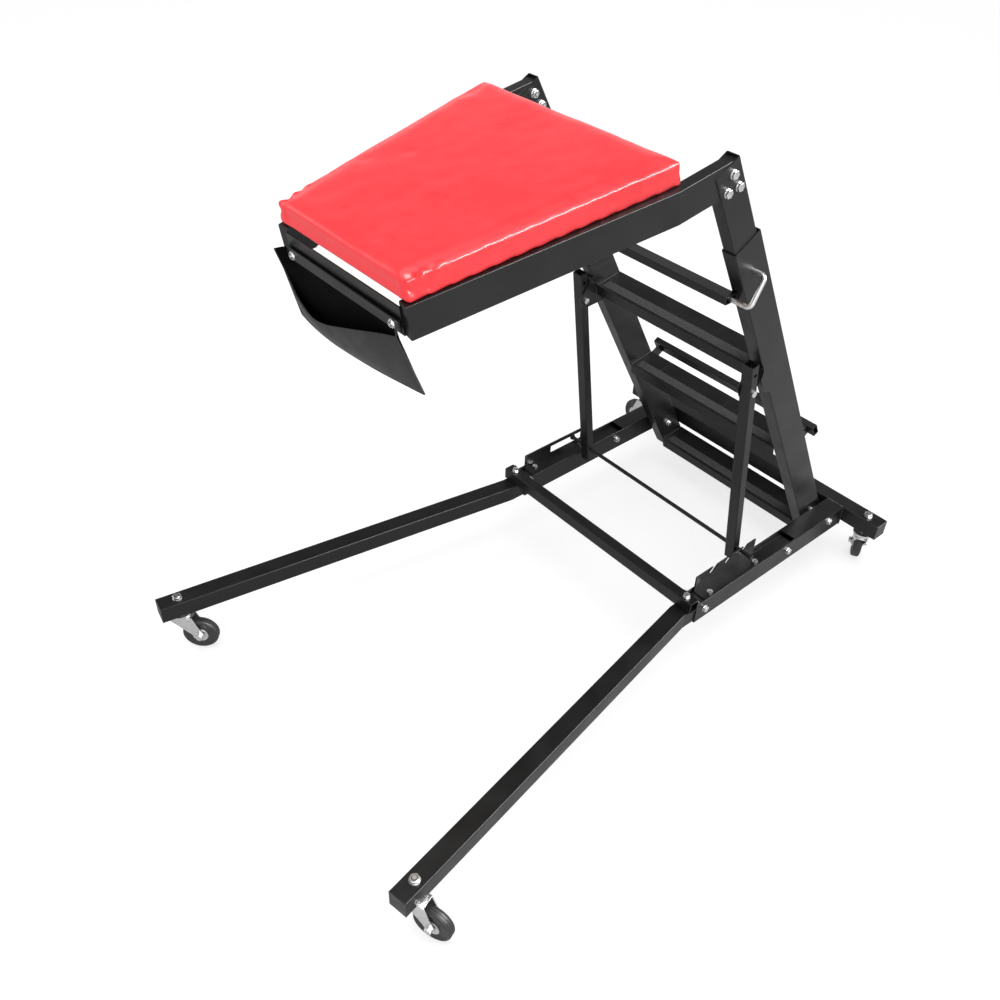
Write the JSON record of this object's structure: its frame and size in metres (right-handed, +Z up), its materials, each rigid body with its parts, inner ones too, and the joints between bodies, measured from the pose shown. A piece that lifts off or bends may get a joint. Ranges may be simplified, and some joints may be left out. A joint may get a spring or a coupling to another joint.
{
  "type": "topside chest-support creeper",
  "caption": "Black steel chest-support creeper on casters, with a leaning ladder, a sliding mast, a red vinyl pad and a tool pouch.",
  "frame": {"origin": "the middle of the rear crossbar's rear face, 125 mm above the floor", "axes": "+X to the user's right as they face the front, -Y forwards along the legs, +Z up"},
  "size_m": [0.9143, 1.4618, 1.108],
  "materials": {
    "black_enamel": "semi-gloss black enamel on steel tube",
    "zinc_plate": "bright zinc plate",
    "black_plastic": "moulded black end caps",
    "wheel_rubber": "dark grey caster wheel",
    "red_vinyl": "glossy red vinyl over foam",
    "black_vinyl": "black vinyl sheet",
    "plywood": "raw plywood under the pad",
    "grip_tape": "coarse grip tape"
  },
  "bodies": {
    "base": {"rear_crossbar": "black_enamel", "crossbar_caps": "black_plastic", "right_rail": "black_enamel", "left_rail": "black_enamel", "right_leg": "black_enamel", "left_leg": "black_enamel", "leg_caps": "black_plastic", "tie_bar": "black_enamel", "tie_bar_bolts": "zinc_plate", "leg_bolts": "zinc_plate", "leg_stay_bolts": "zinc_plate", "ladder_pivots": "zinc_plate", "right_rack": "black_enamel", "left_rack": "black_enamel", "rack_screws": "zinc_plate", "caster_stems": "zinc_plate"},
    "ladder": {"right_upright": "black_enamel", "left_upright": "black_enamel", "lower_rung": "black_enamel", "middle_rung": "black_enamel", "upper_rung": "black_enamel", "grip_strips": "grip_tape", "top_bar": "black_enamel", "top_bar_brackets": "black_enamel", "rear_bar": "black_enamel", "rear_bar_brackets": "black_enamel", "strut_brackets": "black_enamel"},
    "props": {"right_strut": "black_enamel", "left_strut": "black_enamel", "strut_rod": "black_enamel", "strut_pins": "zinc_plate"},
    "mast": {"right_inner_tube": "black_enamel", "left_inner_tube": "black_enamel", "head_bolts": "zinc_plate", "right_arm": "black_enamel", "left_arm": "black_enamel", "front_plate": "black_enamel", "pouch_strip": "black_enamel", "pouch_bolts": "zinc_plate", "pad_board": "plywood", "pad_screws": "zinc_plate", "cushion": "red_vinyl", "tool_pouch": "black_vinyl"},
    "right_pin": {"right_lock_pin": "zinc_plate"},
    "left_pin": {"left_lock_pin": "zinc_plate"},
    "front_right_swivel": {"front_right_fork": "zinc_plate", "front_right_axle": "zinc_plate"},
    "front_right_roller": {"front_right_wheel": "wheel_rubber"},
    "front_left_swivel": {"front_left_fork": "zinc_plate", "front_left_axle": "zinc_plate"},
    "front_left_roller": {"front_left_wheel": "wheel_rubber"},
    "rear_right_swivel": {"rear_right_fork": "zinc_plate", "rear_right_axle": "zinc_plate"},
    "rear_right_roller": {"rear_right_wheel": "wheel_rubber"},
    "rear_left_swivel": {"rear_left_fork": "zinc_plate", "rear_left_axle": "zinc_plate"},
    "rear_left_roller": {"rear_left_wheel": "wheel_rubber"}
  },
  "joints": [
    {"name": "ladder_tilt", "type": "hinge", "parent": "base", "child": "ladder", "pos_m": [0, -0.0912, 0.005], "axis": [1, 0, 0], "range_deg": [-30, 0]},
    {"name": "strut_swing", "type": "hinge", "parent": "ladder", "child": "props", "pos_m": [0, -0.43702, 0.47204], "axis": [1, 0, 0], "range_deg": [0, 17.2]},
    {"name": "mast_slide", "type": "slide", "parent": "ladder", "child": "mast", "axis": [0, -0.4939, 0.8695], "range_m": [0, 0.3]},
    {"name": "right_pin_pull", "type": "slide", "parent": "ladder", "child": "right_pin", "axis": [1, 0, 0], "range_m": [0, 0.045]},
    {"name": "left_pin_pull", "type": "slide", "parent": "ladder", "child": "left_pin", "axis": [-1, 0, 0], "range_m": [0, 0.045]},
    {"name": "front_right_swivel_turn", "type": "hinge", "parent": "base", "child": "front_right_swivel", "pos_m": [0.40841, -1.36934, -0.039], "axis": [0, 0, 1], "continuous": true},
    {"name": "front_right_wheel_roll", "type": "hinge", "parent": "front_right_swivel", "child": "front_right_roller", "pos_m": [0.4413, -1.35737, -0.0875], "axis": [0.342, -0.9397, 0], "continuous": true},
    {"name": "front_left_swivel_turn", "type": "hinge", "parent": "base", "child": "front_left_swivel", "pos_m": [-0.40841, -1.36934, -0.039], "axis": [0, 0, 1], "continuous": true},
    {"name": "front_left_wheel_roll", "type": "hinge", "parent": "front_left_swivel", "child": "front_left_roller", "pos_m": [-0.38522, -1.34312, -0.0875], "axis": [0.749, -0.6626, 0], "continuous": true},
    {"name": "rear_right_swivel_turn", "type": "hinge", "parent": "base", "child": "rear_right_swivel", "pos_m": [0.3457, -0.019, -0.039], "axis": [0, 0, 1], "continuous": true},
    {"name": "rear_right_wheel_roll", "type": "hinge", "parent": "rear_right_swivel", "child": "rear_right_roller", "pos_m": [0.3282, 0.01131, -0.0875], "axis": [0.866, 0.5, 0], "continuous": true},
    {"name": "rear_left_swivel_turn", "type": "hinge", "parent": "base", "child": "rear_left_swivel", "pos_m": [-0.3457, -0.019, -0.039], "axis": [0, 0, 1], "continuous": true},
    {"name": "rear_left_wheel_roll", "type": "hinge", "parent": "rear_left_swivel", "child": "rear_left_roller", "pos_m": [-0.38057, -0.01595, -0.0875], "axis": [0.0872, 0.9962, 0], "continuous": true}
  ],
  "couplings": [
    {"joint": "strut_swing", "follows": "ladder_tilt", "ratio": -0.573}
  ]
}
